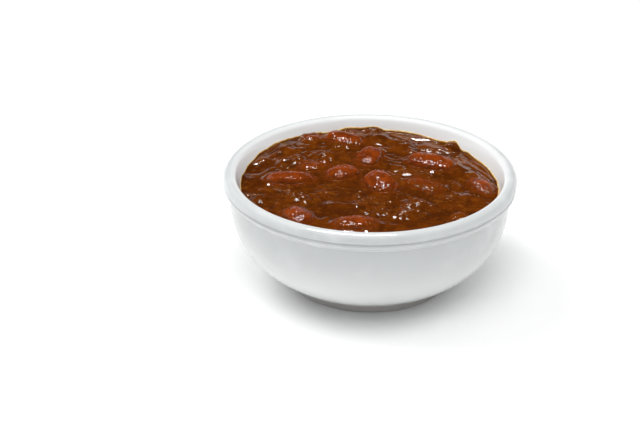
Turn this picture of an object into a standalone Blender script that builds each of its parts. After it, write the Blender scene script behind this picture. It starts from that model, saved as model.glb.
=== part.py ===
"""Chili con carne, served in a small white bowl with a rolled rim.

The bowl stands on its foot ring at z = 0, its middle on the Z axis. The sauce fills it to
about 8 mm below the rim, 3 mm higher along the back, and the kidney beans lie in the
sauce, each in a pocket of its own shape. Metres, +Z up; the front is -Y.
"""
import math

import bmesh
import bpy
from mathutils import Euler, Matrix, Vector, noise

MM = 0.001
GAP = 0.3 * MM                      # room between neighbouring pieces

# Bowl, outside
RIM_RADIUS = 60.0 * MM              # widest, at the middle of the rim roll
BOWL_HEIGHT = 47.9 * MM
ROLL_RADIUS = 2.8 * MM              # cross-section of the rolled rim
ROLL_INNER_DEG = 157.0              # where the roll runs into the inner wall
ROLL_OUTER_DEG = -22.0              # where the roll ends above the groove
GROOVE_RADIUS = 59.3 * MM
GROOVE_DROP = 3.9 * MM              # groove, below the rim top
BEAD_RADIUS = 59.75 * MM
BEAD_DROP = 5.0 * MM
BAND_FOOT_RADIUS = 59.2 * MM
BAND_FOOT_DROP = 6.1 * MM
NECK_RADIUS = 57.9 * MM             # undercut below the rim band
NECK_DROP = 7.2 * MM
BELLY_RADIUS = 57.5 * MM
BELLY_Z = 38.5 * MM
BELLY_HANDLE = 18.5 * MM
FOOT_JOIN_RADIUS = 34.5 * MM
FOOT_JOIN_Z = 3.5 * MM
FOOT_FLARE_DEG = 25.0               # slope of the belly where it leaves the foot
FLARE_HANDLE = 14.8 * MM

# Bowl, foot and inside
FOOT_RADIUS = 34.0 * MM
FOOT_EDGE = 0.4 * MM                # worn edge of the foot ring
FOOT_RING_WIDTH = 3.0 * MM
RECESS_DEPTH = 1.6 * MM
FLOOR_Z = 5.0 * MM
FLOOR_RADIUS = 20.0 * MM
FLOOR_HANDLE = 30.0 * MM
WALL_HANDLE = 13.8 * MM

# Sauce
SAUCE_LEVEL = 39.5 * MM             # edge of the sauce at the front and the right
SAUCE_RADIUS = 53.0 * MM            # where the sauce meets the wall
MIDDLE_RISE = 1.4 * MM              # how much higher the thick stew stands in the middle
BACK_RISE = 3.3 * MM                # how much higher it stands along the back wall
BACK_HEADING_DEG = 112.0            # middle of that high stretch
BACK_SPREAD_DEG = 65.0
RELIEF_STEP = 2.9 * MM              # mesh of the uneven surface
RELIEF_TURN_DEG = 35.0              # its lines run askew to the wall's flats
RELIEF_SHIFT = (0.37, 0.41)         # of a step, so that no line crosses the axis
RIPPLE_HEIGHT = 0.6 * MM
RIPPLE_SIZE = 8.0 * MM
SWELL_HEIGHT = 0.7 * MM             # sauce drawn up against each bean
SWELL_REACH = 4.0 * MM

MOUND_FALL = 1.5                    # how gently a mound in the sauce runs out

# How finely the round shapes are divided
TURN_STEPS = 46                     # sides of every turned shape
TURN_MERGE = 0.05 * MM              # joins the points that lie on the axis
WALL_POINTS = 7
ROLL_POINTS = 6
BELLY_POINTS = 8
BEAN_SIDES = 10
BEAN_RINGS = 7

# Every kidney bean
BEAN_BEND = 0.12                    # of its width: how far the back bows out
BEAN_DENT = 0.12                    # of its width: how deep the eye lies
BEAN_EYE_LENGTH = 0.34              # of half its length: how far the eye reaches
BEAN_BLUNTNESS = 2.5                # 2 gives round ends, more gives fuller ones
TIP_SIZE = 1e-9                     # keeps the division safe at the very tips

# Kidney beans: centre x, y, z; length, width, thickness; heading, pitch, roll in degrees.
BEANS = (
    ("bean_back_left", (-9.7, 42.2, 40.5), (18.8, 10.6, 9.4), (-20.0, 6.0, 8.0)),
    ("bean_back_middle", (0.5, 24.2, 40.3), (16.5, 11.2, 9.6), (70.0, -8.0, 0.0)),
    ("bean_tucked", (-22.8, 15.3, 39.4), (14.5, 9.8, 8.0), (12.0, 4.0, 0.0)),
    ("bean_left_of_middle", (-10.8, 8.4, 40.0), (15.5, 11.6, 9.8), (-146.0, 0.0, 0.0)),
    ("bean_middle", (4.6, -0.9, 40.2), (18.0, 12.4, 10.4), (-62.0, 6.0, 12.0)),
    ("bean_left", (-32.4, 3.3, 40.0), (21.0, 11.0, 9.2), (-3.0, 0.0, -6.0)),
    ("bean_right", (26.8, 19.4, 40.1), (22.2, 12.0, 9.8), (-19.0, 4.0, 5.0)),
    ("bean_sunk", (22.1, -0.8, 38.8), (18.0, 10.4, 8.4), (-40.0, 0.0, 0.0)),
    ("bean_right_wall", (46.0, -1.7, 38.7), (14.5, 9.4, 8.2), (-60.0, 8.0, 0.0)),
    ("bean_front_left", (-29.0, -29.0, 39.2), (15.5, 10.0, 9.0), (-56.0, 0.0, 4.0)),
    ("bean_front", (-6.5, -35.6, 38.8), (18.5, 11.0, 9.0), (4.0, 0.0, 0.0)),
    ("bean_front_right", (32.6, -27.4, 36.5), (13.0, 8.4, 7.8), (30.0, -14.0, 0.0)),
    ("bean_back_wall", (-23.6, 42.6, 41.0), (8.0, 6.2, 6.4), (28.0, 0.0, 0.0)),
)

# Beans and meat that lie under the sauce and lift it, and one hollow: x, y, half length,
# half width, heading in degrees, height above the sauce around them.
SUNKEN = (
    (6.5, 43.0, 9.0, 6.5, -22.0, 1.7),
    (16.0, 38.0, 7.0, 6.0, -35.0, 1.1),
    (40.5, 11.5, 9.0, 7.0, -50.0, 1.8),
    (38.5, -11.0, 6.0, 5.4, 0.0, 1.2),
    (-18.0, 25.5, 8.0, 6.0, 20.0, 1.3),
    (-32.5, 20.0, 8.0, 5.8, 40.0, 1.3),
    (-36.0, 31.0, 7.0, 5.6, 45.0, 1.0),
    (37.0, 36.5, 4.6, 4.0, 0.0, 2.0),
    (-9.5, -21.5, 11.0, 6.5, -16.0, 1.5),
    (18.0, -18.5, 7.0, 6.0, -10.0, 1.5),
    (12.5, -27.0, 6.0, 5.0, 0.0, 1.0),
    (-44.0, -14.0, 6.0, 5.4, 60.0, 1.2),
    (-28.0, -12.0, 6.5, 5.6, 0.0, 0.8),
    (3.0, 52.0, 5.0, 4.5, 0.0, 1.0),
    (-14.5, 51.0, 9.0, 7.0, 12.0, -1.5),
)


def clear_scene():
    for old in list(bpy.data.objects):
        bpy.data.objects.remove(old, do_unlink=True)


def new_collection(name):
    collection = bpy.data.collections.new(name)
    bpy.context.scene.collection.children.link(collection)
    return collection


def material(name, colour, roughness):
    made = bpy.data.materials.new(name)
    made.use_nodes = True
    shader = made.node_tree.nodes["Principled BSDF"]
    shader.inputs["Base Color"].default_value = (*colour, 1.0)
    shader.inputs["Roughness"].default_value = roughness
    shader.inputs["Metallic"].default_value = 0.0
    return made


def arc(centre, radius, start_deg, end_deg, count):
    """Points of a round stretch of a profile, from one angle to the other."""
    points = []
    for index in range(count):
        angle = math.radians(start_deg + (end_deg - start_deg) * index / (count - 1))
        points.append(centre + Vector((math.cos(angle), math.sin(angle))) * radius)
    return points


def bezier(start, start_handle, end_handle, end, count):
    """Points of a curved stretch of a profile, both ends included."""
    points = []
    for index in range(count):
        t = index / (count - 1)
        s = 1.0 - t
        near = start * s**3 + start_handle * 3 * s * s * t
        points.append(near + end_handle * 3 * s * t * t + end * t**3)
    return points


def roll_centre():
    return Vector((RIM_RADIUS - ROLL_RADIUS, BOWL_HEIGHT - ROLL_RADIUS))


def inner_wall(count, inset=0.0):
    """The inside of the bowl from the rim roll down to the floor, moved in by inset."""
    angle = math.radians(ROLL_INNER_DEG)
    lip = roll_centre() + Vector((math.cos(angle), math.sin(angle))) * ROLL_RADIUS
    down = Vector((-math.sin(angle), math.cos(angle)))
    floor_edge = Vector((FLOOR_RADIUS, FLOOR_Z))
    floor_handle = floor_edge + Vector((FLOOR_HANDLE, 0.0))
    wall = bezier(lip, lip + down * WALL_HANDLE, floor_handle, floor_edge, count)
    moved = []
    for index, point in enumerate(wall):
        along = wall[min(index + 1, count - 1)] - wall[max(index - 1, 0)]
        inward = Vector((along.y, -along.x)).normalized()
        moved.append(point + inward * inset)
    return moved


def turned(name, profile, collection):
    """A profile in the XZ plane turned round the Z axis into a closed body."""
    mesh = bpy.data.meshes.new(name)
    points = [(point.x, 0.0, point.y) for point in profile]
    edges = [(index, index + 1) for index in range(len(points) - 1)]
    mesh.from_pydata(points, edges, [])
    body = bpy.data.objects.new(name, mesh)
    collection.objects.link(body)
    screw = body.modifiers.new("turn", "SCREW")
    screw.axis = "Z"
    screw.angle = math.tau
    screw.steps = TURN_STEPS
    screw.render_steps = TURN_STEPS
    screw.use_merge_vertices = True
    screw.merge_threshold = TURN_MERGE
    screw.use_smooth_shade = True
    return body


def make_bowl(collection, glaze):
    roll = arc(roll_centre(), ROLL_RADIUS, ROLL_INNER_DEG, ROLL_OUTER_DEG, ROLL_POINTS)
    band = [
        Vector((GROOVE_RADIUS, BOWL_HEIGHT - GROOVE_DROP)),
        Vector((BEAD_RADIUS, BOWL_HEIGHT - BEAD_DROP)),
        Vector((BAND_FOOT_RADIUS, BOWL_HEIGHT - BAND_FOOT_DROP)),
        Vector((NECK_RADIUS, BOWL_HEIGHT - NECK_DROP)),
    ]
    belly_top = Vector((BELLY_RADIUS, BELLY_Z))
    foot_join = Vector((FOOT_JOIN_RADIUS, FOOT_JOIN_Z))
    flare = math.radians(FOOT_FLARE_DEG)
    flare_handle = foot_join + Vector((math.cos(flare), math.sin(flare))) * FLARE_HANDLE
    belly_handle = belly_top - Vector((0.0, BELLY_HANDLE))
    belly = bezier(belly_top, belly_handle, flare_handle, foot_join, BELLY_POINTS)
    ring_inside = FOOT_RADIUS - FOOT_RING_WIDTH
    foot = [
        Vector((FOOT_RADIUS, FOOT_EDGE)),
        Vector((FOOT_RADIUS - FOOT_EDGE, 0.0)),
        Vector((ring_inside + FOOT_EDGE, 0.0)),
        Vector((ring_inside, FOOT_EDGE)),
        Vector((ring_inside - FOOT_EDGE, RECESS_DEPTH)),
        Vector((0.0, RECESS_DEPTH)),
    ]
    wall = list(reversed(inner_wall(WALL_POINTS)))
    profile = [Vector((0.0, FLOOR_Z))] + wall[:-1] + roll + band + belly + foot
    bowl = turned("bowl", profile, collection)
    bowl.data.materials.append(glaze)
    return bowl


def bean_shape(name, length, width, thickness):
    """A kidney bean along X: blunt ends, a bent back and a dent at the eye."""
    shape = bmesh.new()
    bmesh.ops.create_uvsphere(shape, u_segments=BEAN_SIDES, v_segments=BEAN_RINGS, radius=1.0)
    bmesh.ops.rotate(shape, verts=shape.verts, matrix=Matrix.Rotation(math.pi / 2, 3, "Y"))
    bend = BEAN_BEND * width
    for vert in shape.verts:
        along = vert.co.x
        round_end = math.sqrt(max(1.0 - along * along, TIP_SIZE))
        blunt_end = max(1.0 - abs(along) ** BEAN_BLUNTNESS, 0.0) ** (1.0 / BEAN_BLUNTNESS)
        full = blunt_end / round_end
        eye = math.exp(-((along / BEAN_EYE_LENGTH) ** 2))
        dent = BEAN_DENT * width * eye * max(-vert.co.y, 0.0)
        bow = bend * (0.5 - along * along)
        vert.co = Vector((
            along * length / 2,
            vert.co.y * full * width / 2 + bow + dent,
            vert.co.z * full * thickness / 2,
        ))
    mesh = bpy.data.meshes.new(name)
    shape.to_mesh(mesh)
    shape.free()
    mesh.shade_smooth()
    return mesh


def place_bean(name, centre, size, turn, collection, grow=0.0):
    length, width, thickness = (value * MM + 2 * grow for value in size)
    bean = bpy.data.objects.new(name, bean_shape(name, length, width, thickness))
    heading, pitch, roll = (math.radians(value) for value in turn)
    bean.location = Vector(centre) * MM
    bean.rotation_euler = Euler((roll, pitch, heading))
    collection.objects.link(bean)
    return bean


def mound(offset, half_length, half_width, heading_deg):
    """One at the middle of a long low mound, falling to nothing at its edge."""
    heading = math.radians(heading_deg)
    along = offset.x * math.cos(heading) + offset.y * math.sin(heading)
    across = offset.y * math.cos(heading) - offset.x * math.sin(heading)
    reach = math.hypot(along / half_length, across / half_width)
    return max(1.0 - reach * reach, 0.0) ** MOUND_FALL


def sauce_height(x, y):
    """Height of the sauce at a place: level, rises, ripples, swells and sunken lumps."""
    here = Vector((x, y))
    out = min(here.length / SAUCE_RADIUS, 1.0)
    bearing = math.degrees(math.atan2(y, x))
    off_back = (bearing - BACK_HEADING_DEG + 180.0) % 360.0 - 180.0
    back = math.exp(-((off_back / BACK_SPREAD_DEG) ** 2))
    rise = MIDDLE_RISE * (1.0 - out**2) + BACK_RISE * out**2 * back
    ripple = RIPPLE_HEIGHT * noise.noise(Vector((x, y, 0.0)) / RIPPLE_SIZE)
    height = SAUCE_LEVEL + rise + ripple
    for _, centre, size, turn in BEANS:
        offset = here - Vector(centre[:2]) * MM
        height += SWELL_HEIGHT * mound(
            offset, size[0] * MM / 2 + SWELL_REACH, size[1] * MM / 2 + SWELL_REACH, turn[0])
    for lump_x, lump_y, half_length, half_width, heading, lift in SUNKEN:
        offset = here - Vector((lump_x, lump_y)) * MM
        height += lift * MM * mound(offset, half_length * MM, half_width * MM, heading)
    return height


def relief_block(name, collection):
    """A block whose upper face is the uneven sauce surface, wider than the bowl's inside."""
    cells = math.ceil(2 * RIM_RADIUS / RELIEF_STEP)
    shift = Vector((*RELIEF_SHIFT, 0.0)) * RELIEF_STEP
    askew = Matrix.Translation(shift) @ Matrix.Rotation(math.radians(RELIEF_TURN_DEG), 4, "Z")
    block = bmesh.new()
    bmesh.ops.create_grid(block, x_segments=cells, y_segments=cells, size=RIM_RADIUS, matrix=askew)
    top_faces = list(block.faces)
    lower = bmesh.ops.extrude_face_region(block, geom=top_faces, use_keep_orig=True)
    lower_verts = {item for item in lower["geom"] if isinstance(item, bmesh.types.BMVert)}
    for vert in block.verts:
        vert.co.z = 0.0 if vert in lower_verts else sauce_height(vert.co.x, vert.co.y)
    bmesh.ops.recalc_face_normals(block, faces=block.faces)
    mesh = bpy.data.meshes.new(name)
    block.to_mesh(mesh)
    block.free()
    mesh.shade_smooth()
    made = bpy.data.objects.new(name, mesh)
    collection.objects.link(made)
    return made


def hide_cutter(cutter):
    cutter.hide_render = True
    cutter.display_type = "WIRE"


def add_boolean(body, operation, cutter):
    cut = body.modifiers.new(cutter.name, "BOOLEAN")
    cut.operation = operation
    cut.solver = "EXACT"
    cut.object = cutter


def make_chili(collection, cutters, sauce):
    """The sauce body: relief on top, the bowl's inside below, a pocket for every bean."""
    chili = relief_block("chili", collection)
    chili.data.materials.append(sauce)
    wall = inner_wall(WALL_POINTS, inset=GAP)
    fill_top = Vector((0.0, wall[0].y))
    fill_floor = Vector((0.0, FLOOR_Z + GAP))
    inside = turned("bowl_inside", [fill_top] + wall + [fill_floor], cutters)
    hide_cutter(inside)
    add_boolean(chili, "INTERSECT", inside)
    for name, centre, size, turn in BEANS:
        pocket = place_bean("pocket_" + name, centre, size, turn, cutters, grow=GAP)
        hide_cutter(pocket)
        add_boolean(chili, "DIFFERENCE", pocket)
    return chili


def main():
    clear_scene()
    parts = new_collection("chili_con_carne")
    cutters = new_collection("cutters")
    glaze = material("white_glaze", (0.83, 0.84, 0.83), 0.12)
    sauce = material("chili_sauce", (0.115, 0.03, 0.008), 0.2)
    bean_skin = material("kidney_bean", (0.24, 0.045, 0.012), 0.18)
    make_bowl(parts, glaze)
    make_chili(parts, cutters, sauce)
    for name, centre, size, turn in BEANS:
        bean = place_bean(name, centre, size, turn, parts)
        bean.data.materials.append(bean_skin)


main()
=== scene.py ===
# %% [markdown]
# # Chili con carne in a white bowl
# A small round stoneware bowl with a rolled rim holds a thick, wet bean and meat stew. The packed
# solids give every place and size. This lesson makes the looks round them: the glazed bowl, the
# uneven sauce with its meat crumbs, thirteen kidney beans, and the line of oil along the wall.

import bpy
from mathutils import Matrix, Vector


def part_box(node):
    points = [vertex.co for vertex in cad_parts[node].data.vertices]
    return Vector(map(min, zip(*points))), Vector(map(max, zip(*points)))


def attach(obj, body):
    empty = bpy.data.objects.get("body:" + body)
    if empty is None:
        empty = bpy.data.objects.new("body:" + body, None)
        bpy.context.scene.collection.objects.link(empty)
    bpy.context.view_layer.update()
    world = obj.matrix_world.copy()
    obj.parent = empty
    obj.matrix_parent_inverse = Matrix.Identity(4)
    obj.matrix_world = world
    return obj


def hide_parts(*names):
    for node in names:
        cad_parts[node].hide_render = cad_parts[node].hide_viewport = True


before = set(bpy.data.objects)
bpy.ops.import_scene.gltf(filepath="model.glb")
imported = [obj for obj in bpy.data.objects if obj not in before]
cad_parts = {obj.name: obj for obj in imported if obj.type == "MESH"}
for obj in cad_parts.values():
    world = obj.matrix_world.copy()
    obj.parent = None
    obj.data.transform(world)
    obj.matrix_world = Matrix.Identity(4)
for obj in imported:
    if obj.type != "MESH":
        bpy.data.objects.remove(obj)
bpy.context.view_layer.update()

import math
import random

import bpy
import numpy as np
from mathutils import Euler, Vector, noise
from mathutils.bvhtree import BVHTree

MM = 0.001
bpy.context.scene.view_settings.view_transform = "Standard"
_, bowl_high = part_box("bowl")
RIM_RADIUS = bowl_high.x
BOWL_HEIGHT = bowl_high.z
print(f"bowl: rim radius {RIM_RADIUS / MM:.1f} mm, height {BOWL_HEIGHT / MM:.1f} mm")

# %% [markdown]
# An operator works on everything that is selected, and loading the solids leaves them selected. So
# each step first deselects all and picks its own piece. A finished piece has its place in its mesh,
# is shaded smooth and rides on the one body.

# %% Picking, editing and finishing a piece
def deselect_all():
    if bpy.context.mode != "OBJECT":
        bpy.ops.object.mode_set(mode="OBJECT")
    bpy.ops.object.select_all(action="DESELECT")


def pick(*pieces):
    deselect_all()
    for piece in pieces:
        piece.select_set(True)
    bpy.context.view_layer.objects.active = pieces[-1]


def edit(piece):
    pick(piece)
    bpy.ops.object.mode_set(mode="EDIT")
    bpy.ops.mesh.select_mode(type="VERT")
    bpy.ops.mesh.select_all(action="DESELECT")


def select_where(piece, rule):
    """Selects the vertices for which rule(place) is true, and stays in edit mode."""
    edit(piece)
    bpy.ops.object.mode_set(mode="OBJECT")
    for vertex in piece.data.vertices:
        vertex.select = rule(vertex.co)
    bpy.ops.object.mode_set(mode="EDIT")


def place_into_mesh(piece):
    pick(piece)
    bpy.ops.object.transform_apply(location=True, rotation=True, scale=True)


def apply_modifier(piece, kind, **settings):
    pick(piece)
    modifier = piece.modifiers.new(kind.lower(), kind)
    for name, value in settings.items():
        setattr(modifier, name, value)
    bpy.ops.object.modifier_apply(modifier=modifier.name)


def triangles(piece):
    return sum(len(face.vertices) - 2 for face in piece.data.polygons)


def complete(piece, slot, *nodes):
    pick(piece)
    bpy.ops.object.shade_smooth()
    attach(piece, "root")
    if nodes:
        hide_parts(*nodes)
    print(f"{piece.name}: {triangles(piece)} triangles")


def places(piece):
    """The piece's vertices as an array of rows x, y, z."""
    flat = np.zeros(len(piece.data.vertices) * 3, np.float32)
    piece.data.vertices.foreach_get("co", flat)
    return flat.reshape(-1, 3).astype(float)


def move_to(piece, rows):
    piece.data.vertices.foreach_set("co", rows.astype(np.float32).ravel())
    piece.data.update()


def keep_values(piece, name, values):
    """One number at each vertex, which a material reads by this name."""
    attribute = piece.data.attributes.new(name, "FLOAT", "POINT")
    attribute.data.foreach_set("value", values.astype(np.float32))


# %% [markdown]
# ## Shader nodes in few words
# Every finish here is a Principled surface whose colour, roughness and bump come from noise in the
# object's own coordinates, which are metres. These helpers add a node, wire it and return its
# output, so that each finish below reads as a short recipe.

# %% Helpers for finishes
class Recipe:
    def __init__(self, name):
        self.material = bpy.data.materials.new(name)
        self.material.use_nodes = True
        self.nodes = self.material.node_tree.nodes
        self.links = self.material.node_tree.links
        self.shader = self.nodes["Principled BSDF"]
        self.place = self.nodes.new("ShaderNodeTexCoord").outputs["Object"]

    def set(self, name, value):
        self.shader.inputs[name].default_value = value

    def wire(self, output, name):
        self.links.new(output, self.shader.inputs[name])

    def noise(self, size, detail=3.0, roughness=0.55):
        node = self.nodes.new("ShaderNodeTexNoise")
        node.inputs["Scale"].default_value = 1.0 / size
        node.inputs["Detail"].default_value = detail
        node.inputs["Roughness"].default_value = roughness
        self.links.new(self.place, node.inputs["Vector"])
        return node.outputs["Fac"]

    def attribute(self, name):
        node = self.nodes.new("ShaderNodeAttribute")
        node.attribute_name = name
        return node.outputs["Fac"]

    def height(self):
        node = self.nodes.new("ShaderNodeSeparateXYZ")
        self.links.new(self.place, node.inputs["Vector"])
        return node.outputs["Z"]

    def spread(self, value, from_low, from_high, to_low=0.0, to_high=1.0, smooth=True):
        node = self.nodes.new("ShaderNodeMapRange")
        node.interpolation_type = "SMOOTHSTEP" if smooth else "LINEAR"
        self.links.new(value, node.inputs["Value"])
        limits = (from_low, from_high, to_low, to_high)
        for name, limit in zip(("From Min", "From Max", "To Min", "To Max"), limits):
            node.inputs[name].default_value = limit
        return node.outputs["Result"]

    def math(self, operation, first, second):
        node = self.nodes.new("ShaderNodeMath")
        node.operation = operation
        for socket, value in zip(node.inputs, (first, second)):
            if isinstance(value, (int, float)):
                socket.default_value = value
            else:
                self.links.new(value, socket)
        return node.outputs["Value"]

    def mix(self, share, first, second):
        node = self.nodes.new("ShaderNodeMix")
        node.data_type = "RGBA"
        self.links.new(share, node.inputs["Factor"])
        for socket, colour in zip((node.inputs[6], node.inputs[7]), (first, second)):
            if isinstance(colour, tuple):
                socket.default_value = (*colour, 1.0)
            else:
                self.links.new(colour, socket)
        return node.outputs[2]

    def bump(self, height, distance, strength=1.0, below=None):
        node = self.nodes.new("ShaderNodeBump")
        node.inputs["Strength"].default_value = strength
        node.inputs["Distance"].default_value = distance
        self.links.new(height, node.inputs["Height"])
        if below:
            self.links.new(below, node.inputs["Normal"])
        return node.outputs["Normal"]


# %% [markdown]
# ## The bowl's outline
# A potter turns this bowl: a rolled rim, a fine groove and a bead under it, a full belly, and a
# foot ring hollowed underneath. Half its outline, from the middle of the inside floor over the rim
# and down to the middle of the recess under the foot, is all that has to be drawn. Round stretches
# are arcs and curves; the rim band is a smooth line through the few places that shape it.

# %% Half the bowl's outline
ROLL_RADIUS = 2.8 * MM
ROLL_INNER_DEG = 157.0
ROLL_OUTER_DEG = -22.0
RIM_BAND = ((59.3, 3.9), (59.75, 5.0), (59.2, 6.1), (57.9, 7.2))    # radius, drop from the rim top
BELLY_TOP = Vector((57.5, 38.5)) * MM
BELLY_HANDLE = 18.5 * MM
FOOT_JOIN = Vector((34.5, 3.5)) * MM
FOOT_FLARE_DEG = 25.0
FLARE_HANDLE = 14.8 * MM
FOOT_RADIUS = 34.0 * MM
FOOT_RING_WIDTH = 3.0 * MM
FOOT_EDGE = 0.4 * MM
FOOT_SIDE_TOP = 1.0 * MM
RECESS_DEPTH = 1.6 * MM
FLOOR = Vector((20.0, 5.0)) * MM
FLOOR_HANDLE = 30.0 * MM
WALL_HANDLE = 13.8 * MM
ROLL_POINTS = 22
BAND_POINTS = 6      # in each span between two places of the rim band
BELLY_POINTS = 34
EDGE_POINTS = 5
WALL_POINTS = 40


def direction(degrees):
    return Vector((math.cos(math.radians(degrees)), math.sin(math.radians(degrees))))


def arc(centre, radius, start_deg, end_deg, count):
    steps = [index / (count - 1) for index in range(count)]
    return [centre + direction(start_deg + (end_deg - start_deg) * t) * radius for t in steps]


def bezier(start, start_handle, end_handle, end, count):
    points = []
    for index in range(count):
        t = index / (count - 1)
        s = 1.0 - t
        points.append(
            start * s**3 + start_handle * 3 * s * s * t + end_handle * 3 * s * t * t + end * t**3)
    return points


def through(points, per_span):
    """A smooth line that passes through every point (Catmull-Rom)."""
    ends = [points[0] * 2 - points[1]] + points + [points[-1] * 2 - points[-2]]
    line = []
    for before, start, end, after in zip(ends, ends[1:], ends[2:], ends[3:]):
        for index in range(per_span):
            t = index / per_span
            pull = (before * -1 + start * 3 - end * 3 + after) * t**3
            bend = (before * 2 - start * 5 + end * 4 - after) * t**2
            line.append((start * 2 + (end - before) * t + bend + pull) / 2)
    return line + [points[-1]]


ROLL_CENTRE = Vector((RIM_RADIUS - ROLL_RADIUS, BOWL_HEIGHT - ROLL_RADIUS))
LIP = ROLL_CENTRE + direction(ROLL_INNER_DEG) * ROLL_RADIUS
INNER_WALL = bezier(
    LIP, LIP + direction(ROLL_INNER_DEG + 90.0) * WALL_HANDLE,
    FLOOR + Vector((FLOOR_HANDLE, 0.0)), FLOOR, WALL_POINTS)
WALL_HEIGHTS = [point.y for point in INNER_WALL[::-1]]
WALL_RADII = [point.x for point in INNER_WALL[::-1]]


def bowl_outline():
    roll = arc(ROLL_CENTRE, ROLL_RADIUS, ROLL_INNER_DEG, ROLL_OUTER_DEG, ROLL_POINTS)
    band = [Vector((radius * MM, BOWL_HEIGHT - drop * MM)) for radius, drop in RIM_BAND]
    rim = roll + through([roll[-1]] + band + [BELLY_TOP], BAND_POINTS)[1:]
    belly = bezier(
        BELLY_TOP, BELLY_TOP - Vector((0.0, BELLY_HANDLE)),
        FOOT_JOIN + direction(FOOT_FLARE_DEG) * FLARE_HANDLE, FOOT_JOIN, BELLY_POINTS)
    inside = FOOT_RADIUS - FOOT_RING_WIDTH
    foot = [Vector((FOOT_RADIUS, FOOT_SIDE_TOP))]
    foot += arc(Vector((FOOT_RADIUS - FOOT_EDGE, FOOT_EDGE)), FOOT_EDGE, 0.0, -90.0, EDGE_POINTS)
    foot += arc(Vector((inside + FOOT_EDGE, FOOT_EDGE)), FOOT_EDGE, -90.0, -180.0, EDGE_POINTS)
    foot += [Vector((inside - FOOT_EDGE, RECESS_DEPTH)), Vector((0.0, RECESS_DEPTH))]
    return [Vector((0.0, FLOOR.y))] + INNER_WALL[::-1][:-1] + rim + belly[1:] + foot


print(f"the outline has {len(bowl_outline())} points")

# %% [markdown]
# The outline could be a curve with a Screw modifier. Here it is drawn as by hand: one vertex is
# extruded from point to point, and the line is spun round the bowl's axis. The first and last
# points lie on the axis, where the spin leaves many copies that are then merged into one.

# %% The bowl, spun from its outline
SPIN_STEPS = 192


def spun_bowl():
    points = bowl_outline()
    deselect_all()
    bpy.ops.mesh.primitive_plane_add(size=MM, location=(points[0].x, 0.0, points[0].y))
    bowl = bpy.context.object
    bowl.name = "glazed_bowl"
    place_into_mesh(bowl)
    edit(bowl)
    bpy.ops.mesh.select_all(action="SELECT")
    bpy.ops.mesh.merge(type="CENTER")
    for here, after in zip(points, points[1:]):
        step = after - here
        bpy.ops.mesh.extrude_region_move(TRANSFORM_OT_translate={"value": (step.x, 0.0, step.y)})
    bpy.ops.mesh.select_all(action="SELECT")
    bpy.ops.mesh.spin(steps=SPIN_STEPS, angle=math.tau, center=(0, 0, 0), axis=(0, 0, 1))
    bpy.ops.mesh.select_all(action="SELECT")
    bpy.ops.mesh.remove_doubles(threshold=0.001 * MM)
    bpy.ops.mesh.normals_make_consistent(inside=False)
    bpy.ops.object.mode_set(mode="OBJECT")
    return bowl


bowl = spun_bowl()

# %% [markdown]
# The glaze is a clear white glass over pale clay: very glossy, a little uneven, and a touch greyer
# where it pools. The same glaze covers both sides, but the inside is painted whiter than the outside
# as painted light, so each vertex keeps on which side it lies. Outside, painted shade makes it
# greyest round the neck, under the rim, and it whitens down the belly. The foot ring is wiped bare
# before firing, and there the clay shows, rough and grey; its grey is also darkened as painted shade
# under the belly. The neck and the foot are placed by height.

# %% White glaze and bare foot ring
# Painted light inside and painted shade round the neck; the glaze itself is the same on both sides.
INSIDE_PAINTED_LIGHT = (0.935, 0.955, 0.955)
GLAZE_OUTSIDE = (0.79, 0.805, 0.80)
NECK_PAINTED_SHADE = (0.61, 0.63, 0.63)
NECK_SHADE_RUN = (36.0 * MM, 12.0 * MM)    # heights between which the painted shade of the neck fades out
GLAZE_POOLED = (0.71, 0.73, 0.73)
# Bare clay at the foot, darkened further as painted shade under the belly.
CLAY_AND_FOOT_SHADE = (0.58, 0.565, 0.545)
BARE_HEIGHT = 3.6 * MM
CLAY_GRAIN = 0.35 * MM
GLAZE_CLOUDS = 14 * MM
GLAZE_WAVES = 9 * MM
GLAZE_WAVE_DEPTH = 0.12 * MM


def white_glaze():
    recipe = Recipe("white_glaze")
    clouds = recipe.noise(GLAZE_CLOUDS, detail=2.0)
    # Painted shade: the outside is darkest round the neck, under the rim, and lightens down the belly.
    outside = recipe.mix(recipe.spread(recipe.height(), *NECK_SHADE_RUN), NECK_PAINTED_SHADE, GLAZE_OUTSIDE)
    glazed = recipe.mix(recipe.spread(clouds, 0.45, 0.9), outside, GLAZE_POOLED)
    # Painted light: the inner wall is made whiter than the outside.
    glazed = recipe.mix(recipe.attribute("inside"), glazed, INSIDE_PAINTED_LIGHT)
    grain = recipe.noise(CLAY_GRAIN, detail=4.0, roughness=0.7)
    bare = recipe.spread(recipe.height(), BARE_HEIGHT, BARE_HEIGHT * 0.85)
    # The bare foot is rough clay; its darker grey is also painted shade under the belly.
    clay_and_shade = recipe.mix(grain, CLAY_AND_FOOT_SHADE, tuple(value * 0.8 for value in CLAY_AND_FOOT_SHADE))
    recipe.wire(recipe.mix(bare, glazed, clay_and_shade), "Base Color")
    recipe.wire(recipe.spread(bare, 0.0, 1.0, 0.12, 0.8), "Roughness")
    waves = recipe.bump(recipe.noise(GLAZE_WAVES, detail=1.0), GLAZE_WAVE_DEPTH, 0.35)
    pits = recipe.bump(recipe.math("MULTIPLY", grain, bare), GLAZE_WAVE_DEPTH, 0.8, below=waves)
    recipe.wire(pits, "Normal")
    return recipe.material


def keep_inside(bowl):
    """1 on the inner wall, 0 outside, and from one to the other over the rolled rim."""
    rows = places(bowl)
    out = np.hypot(rows[:, 0], rows[:, 1])
    over_roll = np.clip((ROLL_CENTRE.x - out) / (ROLL_CENTRE.x - LIP.x), 0.0, 1.0)
    above_floor = rows[:, 2] >= np.interp(out, WALL_RADII, WALL_HEIGHTS) - 0.2 * MM
    keep_values(bowl, "inside", over_roll * above_floor)


keep_inside(bowl)
bowl.data.materials.append(white_glaze())
complete(bowl, "bowl_glaze", "bowl")

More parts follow.
